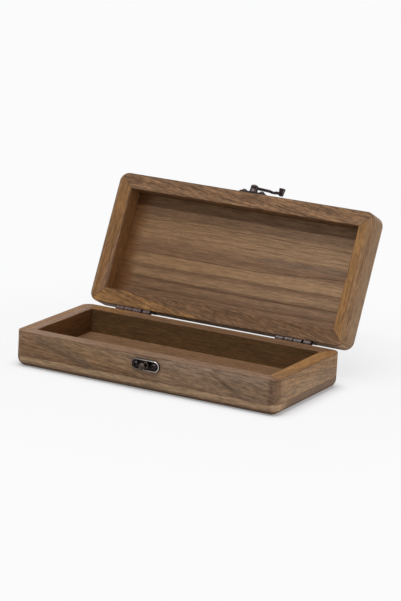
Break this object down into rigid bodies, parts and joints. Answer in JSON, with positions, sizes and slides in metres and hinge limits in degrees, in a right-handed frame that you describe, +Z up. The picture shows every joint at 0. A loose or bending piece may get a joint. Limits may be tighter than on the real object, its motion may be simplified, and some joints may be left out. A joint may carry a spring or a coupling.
{
  "type": "wooden pencil box",
  "caption": "Shallow rectangular hardwood box with a hinged lid, mitred rails, rounded outer edges and a swinging hook latch; holds pencils and pens.",
  "frame": {"origin": "middle of the tray's flat underside", "axes": "+X to the right along the front, +Y to the back where the hinges are, +Z up; the lid stands open as in the picture"},
  "size_m": [0.205, 0.1657, 0.1199],
  "materials": {
    "walnut_rails": "oiled satin, grain along the length",
    "walnut_ends": "oiled satin, grain along the depth",
    "walnut_panels": "oiled satin, grain along the length",
    "bronze_fittings": "antique bronze, dark, satin",
    "bronze_screws": "antique bronze, dark, satin"
  },
  "bodies": {
    "tray": {"tray_front_rail": "walnut_rails", "tray_back_rail": "walnut_rails", "tray_left_end": "walnut_ends", "tray_right_end": "walnut_ends", "tray_bottom_panel": "walnut_panels", "catch_plate": "bronze_fittings", "catch_plate_screws": "bronze_screws", "catch_stud": "bronze_fittings", "left_hinge_tray_leaf": "bronze_fittings", "left_hinge_tray_screws": "bronze_screws", "left_hinge_pin": "bronze_fittings", "right_hinge_tray_leaf": "bronze_fittings", "right_hinge_tray_screws": "bronze_screws", "right_hinge_pin": "bronze_fittings"},
    "lid": {"lid_front_rail": "walnut_rails", "lid_back_rail": "walnut_rails", "lid_left_end": "walnut_ends", "lid_right_end": "walnut_ends", "lid_top_panel": "walnut_panels", "latch_plate": "bronze_fittings", "latch_plate_screws": "bronze_screws", "latch_pivot_rivet": "bronze_fittings", "left_hinge_lid_leaf": "bronze_fittings", "left_hinge_lid_screws": "bronze_screws", "right_hinge_lid_leaf": "bronze_fittings", "right_hinge_lid_screws": "bronze_screws"},
    "hook": {"latch_hook": "bronze_fittings"}
  },
  "joints": [
    {"name": "lid_hinge", "type": "hinge", "parent": "tray", "child": "lid", "pos_m": [0, 0.05055, 0.02565], "axis": [1, 0, 0], "range_deg": [0, 114.6]},
    {"name": "hook_pivot", "type": "hinge", "parent": "lid", "child": "hook", "pos_m": [0.0018, 0.09828, 0.11273], "axis": [0, -0.4163, -0.9092], "range_deg": [-72, 104.7]}
  ]
}
